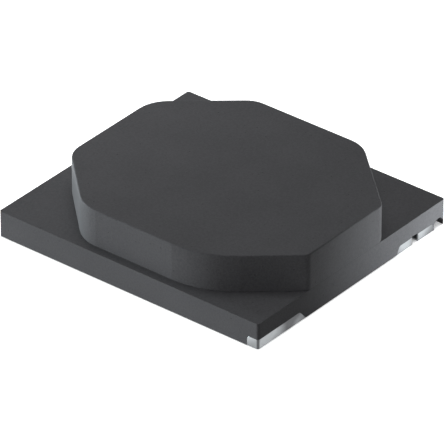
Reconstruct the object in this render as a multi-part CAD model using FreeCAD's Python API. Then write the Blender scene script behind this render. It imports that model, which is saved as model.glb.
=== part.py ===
import FreeCAD, Part
import math
import os

# A low-profile shielded power inductor for surface mounting, in millimetres.
# The origin is on the board, under the middle of the ferrite base plate. +X is the plate's
# longer direction, +Z is up. The four corners are called front (+X, -Y), right (+X, +Y),
# back (-X, +Y) and left (-X, -Y), as they lie when the part is seen from between +X and -Y.
# The solder terminals are metal films fired onto the ferrite. They repeat by half a turn: front and
# back are plain, right and left take the wire.

os.makedirs("parts", exist_ok=True)
Vector = FreeCAD.Vector
UP = Vector(0, 0, 1)
CENTRE_LINE = Vector(0, 0, 0)

# Base plate of pressed and sintered ferrite
plate_length = 5.20
plate_width = 4.68
plate_thickness = 0.455
plate_corner_radius = 0.04
terminal_standoff = 0.010

# Ferrite cap: how far each wall stands in from the plate's edge
cap_left_inset = 0.41
cap_right_inset = 0.0
cap_front_inset = 0.155
cap_back_inset = 0.375
cap_roof = 0.295
cap_edge_break = 0.02
cavity_roof_radius = 0.08

# Cut corners of the cap: (length along X, length along Y, radius at the Y wall, radius at the X wall)
front_cut = (1.24, 1.07, 1.60, 0.15)
right_cut = (1.34, 1.23, 0.60, 0.20)
back_cut = (1.285, 1.07, 0.45, 0.60)
left_cut = (1.15, 1.10, 0.70, 0.50)

# Centre post, and the gap over it that sets the inductance
post_radius = 0.75
post_root_radius = 0.03
core_gap = 0.03

# Enamelled copper wire, wound in two flat layers that join at the post
wire_diameter = 0.14
turn_gap = 0.01
lower_half_turns = 6
upper_half_turns = 8
winding_angle = 75.0
post_clearance = 0.03
cavity_clearance = 0.08
roof_clearance = 0.05
wire_bend_radius = 0.15
lead_bend_radius = 0.30
lead_offset = 0.18
seat_clearance = 0.002

# Adhesives
cap_glue_thickness = 0.010
cap_glue_setback = 0.03
coil_glue_thickness = 0.02
coil_glue_clearance = 0.03

# Holes and grooves that take the wire through the plate and along its underside
hole_clearance = 0.03
groove_clearance = 0.01
wire_cover = 0.012
elbow_setback = 0.15

# Terminals: fired silver film, plated with nickel and tin, in shallow pockets of the plate
terminal_thickness = 0.03
terminal_edge_radius = 0.02
support_tab_height = 0.178
lead_tab_height = 0.145
tab_corner_radius = 0.06
pad_reach = 1.10
pad_corner_radius = 0.15
support_length = 1.18
support_slant = 0.16
support_edge_inset = 0.12
wrap_width = 0.22
lead_pad_from_corner = 0.30
lead_pad_width = 0.93
lead_slant = 0.08
groove_from_corner = 0.755
solder_setback = 0.40
wire_end_gap = 0.05

# Solder, and the small arched relief in the plate's wall between each wire terminal and its corner
solder_length = 0.62
solder_meniscus = 0.006
relief_radius = 0.115
relief_straight_height = 0.05
relief_from_edge = 0.15
relief_depth = 0.16

# Places that follow from the sizes above
half_length = plate_length / 2
half_width = plate_width / 2
plate_top = terminal_standoff + plate_thickness
wire_radius = wire_diameter / 2
turn_pitch = wire_diameter + turn_gap
coil_height = wire_diameter + turn_pitch
inner_turn_radius = post_radius + post_clearance + wire_radius
outer_turn_radius = inner_turn_radius + upper_half_turns * turn_pitch / 2
cavity_radius = outer_turn_radius + wire_radius + cavity_clearance
cavity_top = plate_top + coil_glue_thickness + coil_height + roof_clearance
post_top = cavity_top - core_gap
cap_bottom = plate_top + cap_glue_thickness
cap_top = cavity_top + cap_roof
lower_layer_z = plate_top + coil_glue_thickness + seat_clearance + wire_radius
upper_layer_z = lower_layer_z + turn_pitch
wire_run_z = wire_cover + wire_radius
groove_top = wire_run_z + wire_radius + groove_clearance
groove_width = wire_diameter + 2 * groove_clearance
hole_radius = wire_radius + hole_clearance
groove_y = half_width - groove_from_corner
pad_inner_x = half_length - pad_reach
film_inside_x = half_length - terminal_thickness
solder_end_x = half_length - solder_setback
wire_end_x = solder_end_x - wire_end_gap
elbow_x = pad_inner_x - elbow_setback

cap_left_x = -half_length + cap_left_inset
cap_right_x = half_length - cap_right_inset
cap_front_y = -half_width + cap_front_inset
cap_back_y = half_width - cap_back_inset
coil_centre = Vector((cap_left_x + cap_right_x) / 2, (cap_front_y + cap_back_y) / 2, 0)
coil_u = Vector(math.cos(math.radians(winding_angle)), math.sin(math.radians(winding_angle)), 0)
coil_v = UP.cross(coil_u)


def rounded_edges(points, radii, closed):
    """Straight edges through the points, with a tangent arc of the given radius at each corner."""
    count = len(points)
    corners = range(count) if closed else range(1, count - 1)
    leave = dict((i, points[i]) for i in range(count))
    arrive = dict(leave)
    arcs = {}
    for i in corners:
        corner = points[i]
        back = (points[i - 1] - corner).normalize()
        ahead = (points[(i + 1) % count] - corner).normalize()
        half_angle = back.getAngle(ahead) / 2
        straight = math.pi / 2 - half_angle < 1e-4
        if straight or radii[i] == 0:
            continue
        inward = (back + ahead).normalize()
        arrive[i] = corner + back * (radii[i] / math.tan(half_angle))
        leave[i] = corner + ahead * (radii[i] / math.tan(half_angle))
        middle = corner + inward * (radii[i] / math.sin(half_angle) - radii[i])
        arcs[i] = Part.Arc(arrive[i], middle, leave[i]).toShape()
    edges = []
    for i in range(count if closed else count - 1):
        following = (i + 1) % count
        if i in arcs:
            edges.append(arcs[i])
        edges.append(Part.LineSegment(leave[i], arrive[following]).toShape())
    return edges


def prism(points, radii, direction):
    """A solid: the rounded closed outline, pushed along the direction."""
    outline = Part.Wire(rounded_edges(points, radii, True))
    return Part.Face(outline).extrude(direction)


def block(x0, x1, y0, y1, z0, z1):
    return Part.makeBox(x1 - x0, y1 - y0, z1 - z0, Vector(x0, y0, z0))


def half_turn_about_z(shape):
    turned = shape.copy()
    turned.rotate(CENTRE_LINE, UP, 180)
    return turned


def tube(edges, radius):
    """Round wire along tangent lines and arcs: one solid with one seam-free run."""
    path = Part.Wire(edges)
    start = path.OrderedVertexes[0].Point
    first = path.OrderedEdges[0]
    tangent = first.tangentAt(first.getParameterByLength(0.0))
    profile = Part.Wire(Part.makeCircle(radius, start, tangent))
    return path.makePipeShell([profile], True, False)


# The winding: where it leaves the coil, each lead drops through the plate and runs to its terminal

def coil_point(u, v, z):
    return coil_centre + coil_u * u + coil_v * v + Vector(0, 0, z)


def half_circle(centre_u, radius, side, z):
    """Half a turn about a point on the coil's U axis, counter-clockwise seen from above."""
    ends = [coil_point(centre_u + side * radius, 0, z), coil_point(centre_u - side * radius, 0, z)]
    middle = coil_point(centre_u, side * radius, z)
    return Part.Arc(ends[0], middle, ends[1]).toShape()


def step_between_layers():
    """The innermost half turn, on a tilted plane, which lifts the wire by one layer."""
    rise = upper_layer_z - lower_layer_z
    bulge = math.hypot(inner_turn_radius, rise / 2)
    low = coil_point(inner_turn_radius, 0, lower_layer_z)
    middle = coil_point(0, bulge, lower_layer_z + rise / 2)
    high = coil_point(-inner_turn_radius, 0, upper_layer_z)
    return Part.Arc(low, middle, high).toShape()


def coil_edges():
    """Both layers are spirals of half circles, whose radius changes by half a pitch each time."""
    edges = []
    for k in range(lower_half_turns, 0, -1):
        side = 1 if k % 2 == 0 else -1
        centre = 0 if side == 1 else -turn_pitch / 2
        edges.append(half_circle(centre, inner_turn_radius + k * turn_pitch / 2, side, lower_layer_z))
    edges.append(step_between_layers())
    for k in range(1, upper_half_turns + 1):
        side = 1 if k % 2 == 0 else -1
        centre = 0 if side == 1 else turn_pitch / 2
        edges.append(half_circle(centre, inner_turn_radius + k * turn_pitch / 2, side, upper_layer_z))
    return edges


lower_end_u = inner_turn_radius + lower_half_turns * turn_pitch / 2
upper_end_u = -outer_turn_radius
right_hole = coil_point(lower_end_u, -lead_offset, 0)
left_hole = coil_point(upper_end_u, -lead_offset, 0)


def lead_route(hole, side):
    """Plan of one lead under the plate: its hole, its elbow and its end (side 1 is right, -1 left)."""
    elbow = Vector(side * elbow_x, side * groove_y, 0)
    end = Vector(side * wire_end_x, side * groove_y, 0)
    return [hole, elbow, end]


def lead_edges(coil_end, hole, layer_z, side):
    """One lead, from where it leaves the coil to its end in the terminal."""
    under = Vector(0, 0, wire_run_z)
    run = [point + under for point in lead_route(hole, side)]
    points = [coil_end, hole + Vector(0, 0, layer_z)] + run
    radii = [0, wire_bend_radius, wire_bend_radius, lead_bend_radius, 0]
    return rounded_edges(points, radii, False)


def winding():
    right_lead = lead_edges(coil_point(lower_end_u, 0, lower_layer_z), right_hole, lower_layer_z, 1)
    left_lead = lead_edges(coil_point(upper_end_u, 0, upper_layer_z), left_hole, upper_layer_z, -1)
    return tube(right_lead[::-1] + coil_edges() + left_lead, wire_radius)


# Terminals

def support_blank():
    """Front terminal with sharp edges: a pad, a tab up the +X face and a wrap onto the -Y face."""
    edge_y = -half_width
    end_y = edge_y + support_length
    pad_points = [Vector(pad_inner_x, edge_y + support_edge_inset, 0),
                  Vector(film_inside_x, edge_y + support_edge_inset, 0),
                  Vector(film_inside_x, end_y, 0),
                  Vector(pad_inner_x, end_y, 0)]
    pad = prism(pad_points, [pad_corner_radius, 0, 0, pad_corner_radius], UP * terminal_thickness)
    tab_points = [Vector(film_inside_x, edge_y, 0),
                  Vector(film_inside_x, end_y, 0),
                  Vector(film_inside_x, end_y - support_slant, support_tab_height),
                  Vector(film_inside_x, edge_y, support_tab_height)]
    tab = prism(tab_points, [0, 0, tab_corner_radius, 0], Vector(terminal_thickness, 0, 0))
    wrap_points = [Vector(half_length, edge_y, 0),
                   Vector(half_length - wrap_width, edge_y, 0),
                   Vector(half_length - wrap_width, edge_y, support_tab_height),
                   Vector(half_length, edge_y, support_tab_height)]
    wrap = prism(wrap_points, [0, 0, tab_corner_radius, 0], Vector(0, terminal_thickness, 0))
    return pad.fuse([tab, wrap]).removeSplitter()


def lead_blank():
    """Right terminal with sharp edges, before the groove parts it: a pad and a tab up the +X face."""
    end_y = half_width - lead_pad_from_corner
    start_y = end_y - lead_pad_width
    pad_points = [Vector(pad_inner_x, start_y, 0),
                  Vector(film_inside_x, start_y, 0),
                  Vector(film_inside_x, end_y, 0),
                  Vector(pad_inner_x, end_y, 0)]
    pad = prism(pad_points, [pad_corner_radius, 0, 0, pad_corner_radius], UP * terminal_thickness)
    tab_points = [Vector(film_inside_x, start_y, 0),
                  Vector(film_inside_x, end_y, 0),
                  Vector(film_inside_x, end_y, lead_tab_height),
                  Vector(film_inside_x, start_y + lead_slant, lead_tab_height)]
    tab = prism(tab_points, [0, 0, tab_corner_radius, tab_corner_radius], Vector(terminal_thickness, 0, 0))
    return pad.fuse(tab).removeSplitter()


def groove_lining():
    """The block of film that the groove is cut from: it lines the groove's roof and sides."""
    reach = groove_width / 2 + terminal_thickness
    top = groove_top + terminal_thickness
    return block(pad_inner_x, solder_end_x, groove_y - reach, groove_y + reach, 0, top)


def round_foot(film):
    """Rounds the film's outer edge where it turns from the side walls onto the underside."""
    foot = []
    for edge in film.Edges:
        box = edge.BoundBox
        on_x_wall = box.XMin > half_length - 1e-6
        on_y_wall = box.YMax < -half_width + 1e-6
        round_the_corner = box.XMax > half_length - 1e-6 and edge.Curve.TypeId == "Part::GeomCircle"
        if box.ZMax < 1e-6 and (on_x_wall or on_y_wall or round_the_corner):
            foot.append(edge)
    return film.makeFillet(terminal_edge_radius, foot)


def support_terminal():
    """The front terminal, with the plate's own corner radius where it turns round the corner."""
    blank = support_blank()
    at_corner = []
    for edge in blank.Edges:
        box = edge.BoundBox
        if box.XMin > half_length - 1e-6 and box.YMax < -half_width + 1e-6:
            at_corner.append(edge)
    return round_foot(blank.makeFillet(plate_corner_radius, at_corner))


def groove(hole, side, low, high):
    """Space for one lead under the plate, from its hole round the elbow and out through the side wall."""
    route = lead_route(hole, side)
    route[-1] = Vector(side * (half_length + groove_width), side * groove_y, 0)
    pieces = []
    for start, end in zip(route, route[1:]):
        along = end - start
        run = block(0, along.Length, -groove_width / 2, groove_width / 2, low, high)
        run.rotate(CENTRE_LINE, UP, math.degrees(math.atan2(along.y, along.x)))
        run.translate(start)
        pieces.append(run)
    for point in route[:2]:
        pieces.append(Part.makeCylinder(groove_width / 2, high - low, point + Vector(0, 0, low)))
    return pieces[0].fuse(pieces[1:]).removeSplitter()


def lead_terminal():
    """The right terminal: the groove parts its pad and tab, and its lining joins the two halves."""
    film = round_foot(lead_blank()).fuse(groove_lining())
    return film.cut(groove(right_hole, 1, 0, groove_top)).removeSplitter()


def solder_joint():
    """Solder round the end of the right lead, filling its groove between the film's walls."""
    start_x = solder_end_x - solder_length
    reach = groove_width / 2
    fill = block(start_x, solder_end_x, groove_y - reach, groove_y + reach, 0, groove_top)
    along = Vector(1, 0, 0)
    wire_start = Vector(start_x, groove_y, wire_run_z)
    wire = Part.makeCylinder(wire_radius, wire_end_x - start_x, wire_start, along)
    dip_radius = (reach ** 2 + solder_meniscus ** 2) / (2 * solder_meniscus)
    dip_start = Vector(start_x, groove_y, solder_meniscus - dip_radius)
    dip = Part.makeCylinder(dip_radius, solder_length, dip_start, along)
    return fill.cut([wire, dip])


# Ferrite parts

def cap_corners():
    """Points of the cap's outline, counter-clockwise from the front corner, each with its radius."""
    return [(cap_right_x - front_cut[0], cap_front_y, front_cut[2]),
            (cap_right_x, cap_front_y + front_cut[1], front_cut[3]),
            (cap_right_x, cap_back_y - right_cut[1], right_cut[3]),
            (cap_right_x - right_cut[0], cap_back_y, right_cut[2]),
            (cap_left_x + back_cut[0], cap_back_y, back_cut[2]),
            (cap_left_x, cap_back_y - back_cut[1], back_cut[3]),
            (cap_left_x, cap_front_y + left_cut[1], left_cut[3]),
            (cap_left_x + left_cut[0], cap_front_y, left_cut[2])]


def cap_prism(low, high):
    points = [Vector(x, y, low) for x, y, radius in cap_corners()]
    radii = [radius for x, y, radius in cap_corners()]
    return prism(points, radii, Vector(0, 0, high - low))


def edges_at(shape, z):
    return [edge for edge in shape.Edges if abs(edge.BoundBox.ZMin - z) + abs(edge.BoundBox.ZMax - z) < 1e-6]


def ferrite_cap():
    body = cap_prism(cap_bottom, cap_top)
    body = body.makeFillet(cap_edge_break, edges_at(body, cap_top))
    cavity = Part.makeCylinder(cavity_radius, cavity_top - cap_bottom, coil_centre + UP * cap_bottom)
    cavity = cavity.makeFillet(cavity_roof_radius, edges_at(cavity, cavity_top))
    return body.cut(cavity)


def corner_relief():
    """The small recess in the +X face at the right corner: straight sides under a half-round arch."""
    back_x = half_length - relief_depth
    open_x = half_length + relief_depth
    middle_y = half_width - relief_from_edge
    arch_z = terminal_standoff + relief_straight_height
    arch_back = Vector(back_x, middle_y, arch_z)
    arch = Part.makeCylinder(relief_radius, open_x - back_x, arch_back, Vector(1, 0, 0))
    sides = block(back_x, open_x, middle_y - relief_radius, middle_y + relief_radius, 0, arch_z)
    return sides.fuse(arch).removeSplitter()


def ferrite_base():
    plate = block(-half_length, half_length, -half_width, half_width, terminal_standoff, plate_top)
    uprights = [edge for edge in plate.Edges if edge.BoundBox.ZLength > plate_thickness / 2]
    plate = plate.makeFillet(plate_corner_radius, uprights)
    post = Part.makeCylinder(post_radius, post_top - plate_top, coil_centre + UP * plate_top)
    body = plate.fuse(post)
    post_girth = 2 * math.pi * post_radius
    root = [edge for edge in edges_at(body, plate_top) if abs(edge.Length - post_girth) < 1e-6]
    body = body.makeFillet(post_root_radius, root)
    cuts = []
    for hole, side in ((right_hole, 1), (left_hole, -1)):
        cuts.append(Part.makeCylinder(hole_radius, plate_top, hole))
        cuts.append(groove(hole, side, 0, groove_top))
    for pocket in (support_blank(), lead_blank(), groove_lining(), corner_relief()):
        cuts.append(pocket)
        cuts.append(half_turn_about_z(pocket))
    return body.cut(cuts).removeSplitter()


# Adhesives

def cap_adhesive():
    """Thin line of epoxy between the cap's rim and the plate."""
    film = cap_prism(plate_top, cap_bottom)
    inner = cavity_radius + cap_glue_setback
    inside = Part.makeCylinder(inner, cap_glue_thickness, coil_centre + UP * plate_top)
    return film.cut(inside)


def gap_adhesive():
    """Disc of bead-filled epoxy that holds the gap between the post and the cap's roof."""
    return Part.makeCylinder(post_radius, core_gap, coil_centre + UP * post_top)


def coil_adhesive():
    """Ring of epoxy that the coil is set in, clear of the post's root and of both wire holes."""
    inner = post_radius + post_root_radius + coil_glue_clearance
    outer = outer_turn_radius
    seat = coil_centre + UP * plate_top
    ring = Part.makeCylinder(outer, coil_glue_thickness, seat)
    cuts = [Part.makeCylinder(inner, coil_glue_thickness, seat)]
    for hole in (right_hole, left_hole):
        foot = hole + UP * plate_top
        cuts.append(Part.makeCylinder(hole_radius + coil_glue_clearance, coil_glue_thickness, foot))
    return ring.cut(cuts)


support = support_terminal()
lead = lead_terminal()
joint = solder_joint()
pieces = {
    "ferrite_base": ferrite_base(),
    "ferrite_cap": ferrite_cap(),
    "winding": winding(),
    "front_terminal": support,
    "back_terminal": half_turn_about_z(support),
    "right_terminal": lead,
    "left_terminal": half_turn_about_z(lead),
    "right_solder_joint": joint,
    "left_solder_joint": half_turn_about_z(joint),
    "cap_adhesive": cap_adhesive(),
    "gap_adhesive": gap_adhesive(),
    "coil_adhesive": coil_adhesive(),
}

for name, shape in pieces.items():
    shape.exportStep("parts/" + name + ".step")
    print(name, "volume", round(shape.Volume, 4), "solids", len(shape.Solids), "valid", shape.isValid())
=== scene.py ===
# %% [markdown]
# # A shielded surface-mount power inductor, 5.20 x 4.68 x 1.12 mm
# The object is a coil of enamelled wire shut between two pieces of grey-black ferrite: a flat
# rectangular base, and a cap shaped like a square with its four corners cut off.
# Four thin tin-plated terminals lie in pockets round the base's lower edges: two hold the wire,
# and two only steady the part on its board.
# It is as small as a lentil, so every pattern below is measured in hundredths of a millimetre.
# The solids come ready made in the frame. They could be modelled again here, but they are exact
# already, so this script gives them what solids lack: the real surface of each substance,
# and the light and the camera of a product picture.

import math

import bpy
from mathutils import Matrix, Vector


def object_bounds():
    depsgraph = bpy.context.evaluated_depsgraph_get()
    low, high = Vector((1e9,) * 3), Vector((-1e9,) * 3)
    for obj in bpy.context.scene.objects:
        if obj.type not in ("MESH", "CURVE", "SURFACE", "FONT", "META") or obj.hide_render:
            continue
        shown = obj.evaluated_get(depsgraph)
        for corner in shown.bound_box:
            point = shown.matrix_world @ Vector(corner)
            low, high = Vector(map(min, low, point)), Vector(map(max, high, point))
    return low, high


MM = 0.001
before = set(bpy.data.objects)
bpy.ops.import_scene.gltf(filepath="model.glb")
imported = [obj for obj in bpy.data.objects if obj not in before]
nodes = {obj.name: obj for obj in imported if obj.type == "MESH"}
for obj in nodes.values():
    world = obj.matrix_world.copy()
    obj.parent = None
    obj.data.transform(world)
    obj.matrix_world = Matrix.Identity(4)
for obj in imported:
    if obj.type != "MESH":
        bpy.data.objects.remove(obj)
cad_low, cad_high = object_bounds()
print("nodes:", ", ".join(sorted(nodes)))
print("size in mm:", [round(side / MM, 3) for side in cad_high - cad_low])

# %% [markdown]
# ## The camera
# The picture looks down on one corner, turned 39 degrees round the part and 32 degrees above the
# board. Its edges hardly converge, which is the mark of a very long lens far away.
# A camera could be turned by eye with Euler angles. Here its three axes are worked out from the
# two angles, because then moving along them frames the part without turning it.

# %% Camera
azimuth = math.radians(38.99)
elevation = math.radians(32.17)
camera_distance = 103.86 * MM
framing_up = 0.1216 * MM
framing_right = -0.0045 * MM
sensor_width = 36.0  # lens makers' millimetres, as is the focal length
focal_length = 535.96
clip_ratio = 50  # how many times nearer and farther than the part the camera still sees

back = Vector((math.sin(azimuth) * math.cos(elevation),
               -math.cos(azimuth) * math.cos(elevation),
               math.sin(elevation)))
right = Vector((math.cos(azimuth), math.sin(azimuth), 0.0))
up = back.cross(right)

lens = bpy.data.cameras.new("long_lens")
lens.sensor_width = sensor_width
lens.lens = focal_length
lens.clip_start = camera_distance / clip_ratio
lens.clip_end = camera_distance * clip_ratio
camera = bpy.data.objects.new("camera", lens)
bpy.context.scene.collection.objects.link(camera)
place = back * camera_distance + up * framing_up + right * framing_right
camera.matrix_world = Matrix.Translation(place) @ Matrix((right, up, back)).transposed().to_4x4()
bpy.context.scene.camera = camera
print("field of view in degrees:", round(math.degrees(lens.angle), 2))

# %% [markdown]
# ## Writing colours
# A colour picker gives sRGB, which is how a screen stores a colour. The renderer adds up light,
# so it wants linear values. One function does the change, and every colour below is written as
# the hex value that a picker would show on the real surface.

# %% Colour function
def linear(hex_colour):
    """The linear red, green, blue and alpha of an sRGB colour such as #3f3f41."""
    channels = [int(hex_colour[i:i + 2], 16) / 255 for i in (1, 3, 5)]
    return [c / 12.92 if c <= 0.04045 else ((c + 0.055) / 1.055) ** 2.4 for c in channels] + [1.0]


print("mid grey #808080 is", round(linear("#808080")[0], 3), "in linear light")

# %% [markdown]
# ## Building a material from nodes
# A material is a small graph: patterns feed colours, colours feed a shader. Adding a node by hand
# takes a line for each setting and each wire, so one helper takes them all.
# A setting is an input socket, by name or by number, or else a property of the node.

# %% Node helper
def add(tree, kind, settings=None, links=None):
    """Adds a node to tree. settings gives its sockets and properties, links what feeds its sockets."""
    node = tree.nodes.new("ShaderNode" + kind)
    properties = {key: value for key, value in (settings or {}).items()
                  if isinstance(key, str) and key not in node.inputs}
    for key, value in properties.items():
        setattr(node, key, value)
    for key, value in (settings or {}).items():
        if key not in properties:
            node.inputs[key].default_value = value
    for key, source in (links or {}).items():
        tree.links.new(source, node.inputs[key])
    return node


def new_material(name):
    """An empty material with its node tree and its output, ready for a shader."""
    material = bpy.data.materials.new(name)
    material.use_nodes = True
    material.node_tree.nodes.clear()
    output = add(material.node_tree, "OutputMaterial")
    return material, material.node_tree, output.inputs["Surface"]


print("node kinds such as TexNoise and Bump are added by one helper")

# %% [markdown]
# ## Three patterns of nodes
# Nearly every surface below is made of the same three steps: cloudy noise of a known width, a ramp
# that turns its middle into a chosen range, and a mix of two colours. Each gets a name here, so
# that a material reads as a list of what the eye sees.

# %% Noise, ramp and mix
def noise(tree, place, width, detail, roughness=0.5):
    """Cloudy noise from 0 to 1, in patches about as wide as width."""
    return add(tree, "TexNoise", {"Scale": 1 / width, "Detail": detail, "Roughness": roughness},
               {"Vector": place}).outputs["Fac"]


def ramp(tree, value, start, end, low, high):
    """Runs from low, where value is start, to high, where it is end, and stays level beyond."""
    return add(tree, "MapRange", {"From Min": start, "From Max": end, "To Min": low, "To Max": high},
               {"Value": value}).outputs[0]


def mix(tree, share, first, second):
    """From first to second as share goes from 0 to 1. Each is a hex colour or a socket."""
    settings, links = {"data_type": "RGBA"}, {0: share}
    for socket, colour in ((6, first), (7, second)):
        if isinstance(colour, str):
            settings[socket] = linear(colour)
        else:
            links[socket] = colour
    return add(tree, "Mix", settings, links).outputs[2]


print("patterns ready: noise, ramp, mix")

# %% [markdown]
# ## Ferrite
# Nickel-zinc ferrite is a ceramic: oxide powder is pressed in a die, sintered until its grains
# grow together, and ground flat where faces must meet. It is grey-black and satin.
# Four things give it away. Its grains sparkle a little differently from each other, and a few
# pores stay open as pinholes. The ground faces carry a faint straight lay from the wheel, while
# the pressed side walls carry upright drag marks from the die. Edges broken by tumbling are worn
# a little paler, and they are matt, so they draw no bright line round the part. That paleness is
# also painted light, which hides the shaded line along the seam under the cap.
# A photograph of ferrite could be wrapped round the part, but it would stretch on the walls. The
# patterns here fill space instead, so they run on over every edge as they do in a real solid.
# Real grains are about 0.01 mm. They are drawn at 0.03 mm, because smaller ones would vanish.

# %% Ferrite material
GRAIN = 0.03 * MM
GRAIN_DEPTH = 0.004 * MM
PORE_SPACING = 0.16 * MM
PORE_RIM = (0.03, 0.08)  # in spacings from a pore's middle: where its wall starts and ends
MOTTLING = 0.9 * MM
MOTTLING_SHARE = 0.3
LAY_SPACING = 0.025 * MM
LAY_LENGTH = 1.2 * MM
ROUGHNESS_DRIFT = 0.07
SHEEN = 0.10
TUMBLED_SHEEN = 0.05


def ferrite(name, dark, pale, roughness, lay_depth, arris):
    """Sintered ferrite of two close greys, with grains, pores, wheel marks and die marks.

    lay_depth is how deep the marks are beside the grains, and arris how wide the pale edge is, part
    wear and part painted light.
    """
    material, tree, surface = new_material(name)
    place = add(tree, "TexCoord").outputs["Object"]
    grain = noise(tree, place, GRAIN, 2.0, 0.6)
    mottling = noise(tree, place, MOTTLING, 3.0)
    pores = add(tree, "TexVoronoi", {"Scale": 1 / PORE_SPACING, "Randomness": 1.0}, {"Vector": place})
    open_pore = ramp(tree, pores.outputs["Distance"], PORE_RIM[0], PORE_RIM[1], 0.7, 0.0)

    # blended noise seldom leaves the span from 0.36 to 0.64, so that span is stretched
    blend = add(tree, "Mix", {"data_type": "FLOAT", 0: MOTTLING_SHARE}, {2: grain, 3: mottling})
    tone = mix(tree, ramp(tree, blend.outputs[0], 0.36, 0.64, 0.0, 1.0), dark, pale)
    # open pores are painted near-black, as painted shade inside the pinholes
    pore_painted_shade = mix(tree, open_pore, tone, "#161616")

    # where a rounded normal leaves the true one, the surface is close to an edge
    rounded = add(tree, "Bevel", {"samples": 4, "Radius": arris}).outputs["Normal"]
    true_normal = add(tree, "NewGeometry").outputs["True Normal"]
    facing = add(tree, "VectorMath", {"operation": "DOT_PRODUCT"}, {0: rounded, 1: true_normal})
    # edges are painted paler: part tumbling wear, part painted light that hides the shaded seam line
    # under the cap
    wear_and_painted_light = ramp(tree, facing.outputs["Value"], 1.0, 0.80, 0.0, 0.15)
    worn_and_painted_light = mix(tree, wear_and_painted_light, pore_painted_shade, "#6a6a6c")

    # the wheel's lay shows on level faces, and the die's drag marks on upright ones
    wheel = add(tree, "Mapping", {"Scale": (1 / LAY_LENGTH, 1 / LAY_SPACING, 1 / LAY_LENGTH)},
                {"Vector": place})
    die = add(tree, "Mapping", {"Scale": (1 / LAY_SPACING, 1 / LAY_SPACING, 1 / LAY_LENGTH)},
              {"Vector": place})
    wheel_marks = noise(tree, wheel.outputs[0], 1.0, 3.0)
    die_marks = noise(tree, die.outputs[0], 1.0, 2.0)
    upright = add(tree, "SeparateXYZ", {}, {"Vector": true_normal}).outputs["Z"]
    level = add(tree, "Math", {"operation": "ABSOLUTE"}, {0: upright}).outputs[0]
    marks = add(tree, "Mix", {"data_type": "FLOAT"}, {0: level, 2: die_marks, 3: wheel_marks})

    relief = add(tree, "Math", {"operation": "MULTIPLY_ADD", 1: lay_depth},
                 {0: marks.outputs[0], 2: grain})
    sunk = add(tree, "Math", {"operation": "SUBTRACT"}, {0: relief.outputs[0], 1: open_pore})
    bump = add(tree, "Bump", {"Strength": 0.25, "Distance": GRAIN_DEPTH},
               {"Height": sunk.outputs[0], "Normal": rounded})
    polish = ramp(tree, grain, 0.0, 1.0, roughness - ROUGHNESS_DRIFT, roughness + ROUGHNESS_DRIFT)

    # slant is nothing on level and upright faces, and largest halfway round a broken edge
    flat = add(tree, "Math", {"operation": "SUBTRACT", 0: 1.0}, {1: level})
    slant = add(tree, "Math", {"operation": "MULTIPLY"}, {0: level, 1: flat.outputs[0]})
    sheen = ramp(tree, slant.outputs[0], 0.02, 0.15, SHEEN, TUMBLED_SHEEN)
    shader = add(tree, "BsdfPrincipled", {"IOR": 1.5},
                 {"Base Color": worn_and_painted_light, "Roughness": polish, "Specular IOR Level": sheen,
                  "Normal": bump.outputs[0]})
    tree.links.new(shader.outputs[0], surface)
    return material


finishes = {
    "ferrite_base": ferrite("sintered_ferrite_base", "#404042", "#4a4a4c", roughness=0.60,
                            lay_depth=0.5, arris=0.008 * MM),
    "ferrite_cap": ferrite("sintered_ferrite_cap", "#3f3f41", "#49494b", roughness=0.57,
                           lay_depth=0.7, arris=0.012 * MM),
}
print("ferrite grains are drawn", GRAIN / MM, "mm wide")

# %% [markdown]
# ## Tin plating
# The terminals are silver paste, printed and fired onto the ferrite, then plated with nickel and
# with matt tin that takes the solder. Matt tin is a fine mosaic of crystals, so it is bright but
# never a clean mirror. Its bright and dull grey patches are painted reflections, and its darker
# tone round the base's upright corner is painted shade.
# A polished metal would be one number for roughness. Tin needs a fine grain in its roughness, a
# very shallow bump and two shades.
# Real crystals are about 0.005 mm across. They are drawn at 0.02 mm.

# %% Tin plating material
CRYSTAL = 0.02 * MM
CRYSTAL_DEPTH = 0.003 * MM
TIN_REFLECTION_PATCH = 0.50 * MM
# these two lay the painted reflections, a bright, a dull and a mid patch, along the near terminal
REFLECTION_PATCH_STRETCH = (1.0, 1.05, 1.0)
REFLECTION_PATCH_START = (8.80 * MM, 34.055 * MM, 0.0)


def tin_plating(name):
    """Matt electroplated tin: painted reflections as bright and dull patches, a fine crystal grain and
    painted shade on the corners.
    """
    material, tree, surface = new_material(name)
    place = add(tree, "TexCoord").outputs["Object"]
    crystals = noise(tree, place, CRYSTAL, 3.0)
    # bright and dull patches of painted reflection, placed along the near terminal
    moved = add(tree, "Mapping", {"Location": REFLECTION_PATCH_START, "Scale": REFLECTION_PATCH_STRETCH}, {"Vector": place})
    drift = noise(tree, moved.outputs[0], TIN_REFLECTION_PATCH, 1.0)
    tone = mix(tree, ramp(tree, drift, 0.38, 0.62, 0.0, 1.0), "#58595b", "#9a9d9f")

    # the product of the normal's X and Y is nothing on the flat sides and large round the corner
    facing = add(tree, "SeparateXYZ", {}, {"Vector": add(tree, "NewGeometry").outputs["Normal"]})
    turning = add(tree, "Math", {"operation": "MULTIPLY"},
                  {0: facing.outputs["X"], 1: facing.outputs["Y"]})
    corner = add(tree, "Math", {"operation": "ABSOLUTE"}, {0: turning.outputs[0]})
    # the base's upright corner is painted darker, as painted shade
    thin = ramp(tree, corner.outputs[0], 0.05, 0.35, 0.0, 0.9)
    corner_painted_shade = mix(tree, thin, tone, "#444547")

    rounded = add(tree, "Bevel", {"samples": 4, "Radius": 0.02 * MM})
    bump = add(tree, "Bump", {"Strength": 0.2, "Distance": CRYSTAL_DEPTH},
               {"Height": crystals, "Normal": rounded.outputs["Normal"]})
    shader = add(tree, "BsdfPrincipled", {"Metallic": 1.0},
                 {"Base Color": corner_painted_shade, "Roughness": ramp(tree, crystals, 0.0, 1.0, 0.24, 0.42),
                  "Normal": bump.outputs[0]})
    tree.links.new(shader.outputs[0], surface)
    return material


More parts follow.
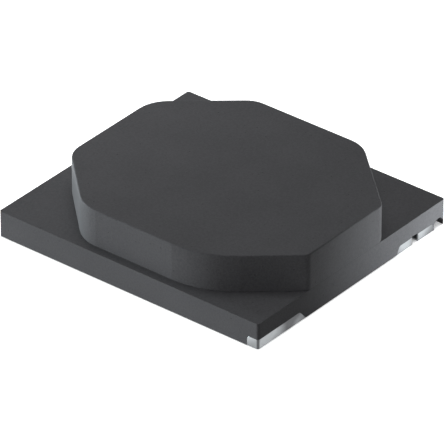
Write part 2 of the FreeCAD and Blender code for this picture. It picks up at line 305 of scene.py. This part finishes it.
tin = tin_plating("matt_tin_plating")
for corner in ("front", "back", "right", "left"):
    finishes[corner + "_terminal"] = tin
print("tin crystals are drawn", CRYSTAL / MM, "mm wide")

# %% [markdown]
# ## Solder
# The wire's two ends are soldered into the grooves of their terminals. Lead-free solder is mostly
# tin too, but it froze from a liquid: it is smoother than plating and broken into soft frosted
# islands where crystals reached the surface.
# A single metal for both would lose that difference, so the islands are a cell pattern of their
# own, about 0.08 mm wide, that changes how sharply the surface reflects and how pale it is.

# %% Solder material
ISLAND = 0.08 * MM
ISLAND_HEIGHT = 0.005 * MM


def reflowed_solder(name):
    """Lead-free solder: smooth bright metal with frosted islands."""
    material, tree, surface = new_material(name)
    place = add(tree, "TexCoord").outputs["Object"]
    islands = add(tree, "TexVoronoi", {"Scale": 1 / ISLAND, "feature": "SMOOTH_F1"},
                  {"Vector": place}).outputs["Distance"]
    bump = add(tree, "Bump", {"Strength": 0.3, "Distance": ISLAND_HEIGHT}, {"Height": islands})
    shader = add(tree, "BsdfPrincipled", {"Metallic": 1.0},
                 {"Base Color": mix(tree, islands, "#d4d5d6", "#c0c1c1"),
                  "Roughness": ramp(tree, islands, 0.0, 0.8, 0.14, 0.36),
                  "Normal": bump.outputs[0]})
    tree.links.new(shader.outputs[0], surface)
    return material


solder = reflowed_solder("reflowed_solder")
for side in ("right", "left"):
    finishes[side + "_solder_joint"] = solder
print("solder islands are", ISLAND / MM, "mm wide")

# %% [markdown]
# ## Enamelled wire
# The winding is copper wire under a few thousandths of a millimetre of amber polyurethane enamel.
# The eye sees warm metal through a clear glossy skin. Two layers of shading do that: a copper
# metal below, and a coat above it with an amber tint of its own.
# The enamel pulls slightly thick and thin as it is baked on, every 0.3 mm or so.

# %% Enamelled copper material
ENAMEL_DRIFT = 0.3 * MM
ENAMEL_DEPTH = 0.004 * MM


def enamelled_copper(name):
    """Copper metal under a glossy amber coat."""
    material, tree, surface = new_material(name)
    place = add(tree, "TexCoord").outputs["Object"]
    drift = noise(tree, place, ENAMEL_DRIFT, 2.0)
    bump = add(tree, "Bump", {"Strength": 0.15, "Distance": ENAMEL_DEPTH}, {"Height": drift})
    shader = add(tree, "BsdfPrincipled",
                 {"Metallic": 1.0, "Coat Weight": 1.0, "Coat Roughness": 0.08, "Coat IOR": 1.55,
                  "Coat Tint": linear("#f0b878")},
                 {"Base Color": mix(tree, drift, "#b4622e", "#cf7c40"),
                  "Roughness": ramp(tree, drift, 0.0, 1.0, 0.22, 0.34),
                  "Normal": bump.outputs[0]})
    tree.links.new(shader.outputs[0], surface)
    return material


finishes["winding"] = enamelled_copper("enamelled_copper")
print("one wire, coated amber")

# %% [markdown]
# ## Epoxy
# Epoxy glues the cap to the base, fills the hair-thin gap over the centre post and holds the
# coil down. The line under the cap is filled with mineral powder, so it is charcoal and matt and
# hides between the two ferrites. The other two are unfilled, amber and glossy.
# All cure with small dimples. The amber one lets light into its depth, which transmission gives
# better than a paler paint would.

# %% Epoxy materials
DIMPLE = 0.12 * MM
DIMPLE_DEPTH = 0.006 * MM


def cured_epoxy(name, thin, thick, clarity, gloss, roughness):
    """Cured epoxy between two shades, with a dimpled skin. clarity is how much light goes in."""
    material, tree, surface = new_material(name)
    place = add(tree, "TexCoord").outputs["Object"]
    dimples = noise(tree, place, DIMPLE, 2.0)
    skin = ramp(tree, dimples, 0.0, 1.0, roughness - ROUGHNESS_DRIFT, roughness + ROUGHNESS_DRIFT)
    bump = add(tree, "Bump", {"Strength": 0.2, "Distance": DIMPLE_DEPTH}, {"Height": dimples})
    shader = add(tree, "BsdfPrincipled",
                 {"IOR": 1.55, "Specular IOR Level": gloss, "Transmission Weight": clarity},
                 {"Base Color": mix(tree, dimples, thin, thick), "Roughness": skin,
                  "Normal": bump.outputs[0]})
    tree.links.new(shader.outputs[0], surface)
    return material


finishes["cap_adhesive"] = cured_epoxy("charcoal_epoxy", "#363638", "#404042", clarity=0.0,
                                       gloss=0.1, roughness=0.60)
amber = cured_epoxy("amber_epoxy", "#c9a15c", "#9a7233", clarity=0.5, gloss=0.5, roughness=0.25)
finishes["gap_adhesive"] = amber
finishes["coil_adhesive"] = amber
print("finishes for", len(finishes), "nodes")

# %% [markdown]
# ## Dressing the solids
# Each solid keeps its mesh and takes the finish of its real substance in its one material slot.
# A loop over the dictionary does it, and it stops if a solid was forgotten, which a list of
# separate lines would let pass.

# %% Give each node its finish
bare = sorted(set(nodes) - set(finishes))
assert not bare, bare
for name, finish in finishes.items():
    node = nodes[name]
    node.data.materials.clear()
    node.data.materials.append(finish)
print("dressed:", len(finishes), "nodes in", len(set(m.name for m in finishes.values())), "finishes")

# %% [markdown]
# ## Floor and surroundings
# The picture stands on white with no line between floor and wall. A floor lit to pure white would
# need so much light that the part would wash out. Instead the floor and the surroundings are plain
# grey to diffuse light, and white to the camera and to reflections, which Light Path tells apart.
# Most of the floor's white glows, and the glow fades where something stands close over it, as
# ambient occlusion measures. So the floor seen through the wire's groove and under the arched
# relief is dull, as it must be. The rest is ordinary paint that takes the lamps' shadows.
# Seen from below the floor is clear, so that the pads show. It is also clear to the very short
# rays that leave the underside just above it, because the pads would otherwise mirror their own
# shadow.

# %% Floor and world
PAPER = "#949494"
FLOOR_HALF = 1500 * MM
FLOOR_Z = cad_low.z - 0.002 * MM
CONTACT = 0.25 * MM
CLOSED, OPEN = 0.25, 0.60  # how much of the sky a spot sees where the glow is least and most
DULL_GLOW, FULL_GLOW = 0.20, 0.85
UNDERSIDE_GAP = 0.03 * MM


def two_faced(tree, to_diffuse, to_eye):
    """One shader for diffuse light, and another for the camera, reflections and clear things."""
    path = add(tree, "LightPath")
    mirror = add(tree, "Math", {"operation": "MAXIMUM"},
                 {0: path.outputs["Is Camera Ray"], 1: path.outputs["Is Glossy Ray"]})
    seen = add(tree, "Math", {"operation": "MAXIMUM"},
               {0: mirror.outputs[0], 1: path.outputs["Is Transmission Ray"]})
    return add(tree, "MixShader", {},
               {0: seen.outputs[0], 1: to_diffuse.outputs[0], 2: to_eye.outputs[0]})


paper, tree, surface = new_material("pale_paper")
plain = add(tree, "BsdfDiffuse", {"Color": linear(PAPER)})
openness = add(tree, "AmbientOcclusion", {"samples": 32, "Distance": CONTACT})
strength = ramp(tree, openness.outputs["AO"], CLOSED, OPEN, DULL_GLOW, FULL_GLOW)
glow = add(tree, "Emission", {"Color": linear("#ffffff")}, {"Strength": strength})
paint = add(tree, "BsdfDiffuse", {"Color": linear("#ffffff")})
bright = add(tree, "AddShader", {}, {0: glow.outputs[0], 1: paint.outputs[0]})
above = two_faced(tree, plain, bright)
from_pads = add(tree, "Math", {"operation": "LESS_THAN", 1: UNDERSIDE_GAP},
                {0: add(tree, "LightPath").outputs["Ray Length"]})
clear = add(tree, "Math", {"operation": "MAXIMUM"},
            {0: add(tree, "NewGeometry").outputs["Backfacing"], 1: from_pads.outputs[0]})
gone = add(tree, "BsdfTransparent")
sheet = add(tree, "MixShader", {}, {0: clear.outputs[0], 1: above.outputs[0], 2: gone.outputs[0]})
tree.links.new(sheet.outputs[0], surface)

mesh = bpy.data.meshes.new("floor")
corners = [(FLOOR_HALF * x, FLOOR_HALF * y, FLOOR_Z) for x, y in ((-1, -1), (1, -1), (1, 1), (-1, 1))]
mesh.from_pydata(corners, [], [(0, 1, 2, 3)])
mesh.materials.append(paper)
floor = bpy.data.objects.new("floor", mesh)
bpy.context.scene.collection.objects.link(floor)

world = bpy.data.worlds.new("pale_surroundings")
world.use_nodes = True
tree = world.node_tree
tree.nodes.clear()
fill = add(tree, "Background", {"Color": linear("#2a2a2c"), "Strength": 1.0})
white = add(tree, "Background", {"Color": linear("#ffffff"), "Strength": 1.0})
add(tree, "OutputWorld", {}, {"Surface": two_faced(tree, fill, white).outputs[0]})
bpy.context.scene.world = world
print("floor at", round(FLOOR_Z / MM, 3), "mm")

# %% [markdown]
# ## Lamps
# Product pictures of dark parts are lit from the sides, so that each wall takes its own shade and
# the edge between two faces draws itself. Three soft lamps stand low to the left and front and
# hardly touch the tops, and one overhead lights all tops alike.
# A honeycomb grid in front of a lamp narrows its beam, and then its light fades across the part.
# The rim lamp does that from above the far left, where the tops are palest. The right lamp does
# it close to the right-hand corner, so that the end walls brighten towards it.
# The under lamp shines up through the floor, as a light table does, for anyone who looks from
# below. A collection that excludes the floor from its shadows lets it through.
# A lamp's power is given here as the brightness of white paper facing it, and turned into watts
# from its distance, so that a colour renders about as it is written whatever the lamp's size.

# %% Lamps
def soft_lamp(name, place, target, width, brightness, tint="#ffffff", grid=180.0):
    """A square lamp at place, aimed at target (mm). grid is its beam's full angle in degrees."""
    start, end = Vector(place) * MM, Vector(target) * MM
    toward = start - end
    light = bpy.data.lights.new(name, "AREA")
    light.size = width * MM
    light.spread = math.radians(grid)
    light.color = linear(tint)[:3]
    light.energy = brightness * math.pi * math.pi * toward.length_squared
    lamp = bpy.data.objects.new(name, light)
    lamp.location = start
    lamp.rotation_mode = "QUATERNION"
    lamp.rotation_quaternion = toward.to_track_quat("Z", "Y")
    lamp.visible_camera = False
    bpy.context.scene.collection.objects.link(lamp)
    print(name, "power in watts:", round(light.energy, 6))
    return lamp


CENTRE = (0, 0, 0.5)
soft_lamp("left_lamp", (-51, -31, 3.5), CENTRE, 6, 0.96, "#f6fdff")
soft_lamp("front_lamp", (-18, -57, 4), CENTRE, 7, 0.48)
soft_lamp("side_lamp", (-40, -4, 3), CENTRE, 5, 1.00, "#edfcff")
soft_lamp("top_lamp", (0, 0, 45), CENTRE, 30, 0.54)
soft_lamp("rim_lamp", (-4.5, 0.3, 17), (-4.5, 0.3, 1.0), 2, 0.018, grid=40.5)
soft_lamp("right_lamp", (8.6, 3.2, 0.3), (2.6, 3.2, 0.4), 1, 0.90, "#fafeff", grid=72)
under_lamp = soft_lamp("under_lamp", (0, 0, -45), CENTRE, 8, 0.80)

passes_floor = bpy.data.collections.new("passes_floor")
passes_floor.objects.link(floor)
passes_floor.collection_objects[0].light_linking.link_state = "EXCLUDE"
under_lamp.light_linking.blocker_collection = passes_floor

# %% [markdown]
# ## Finishing

# %% View settings
bpy.context.scene.view_settings.view_transform = "Standard"
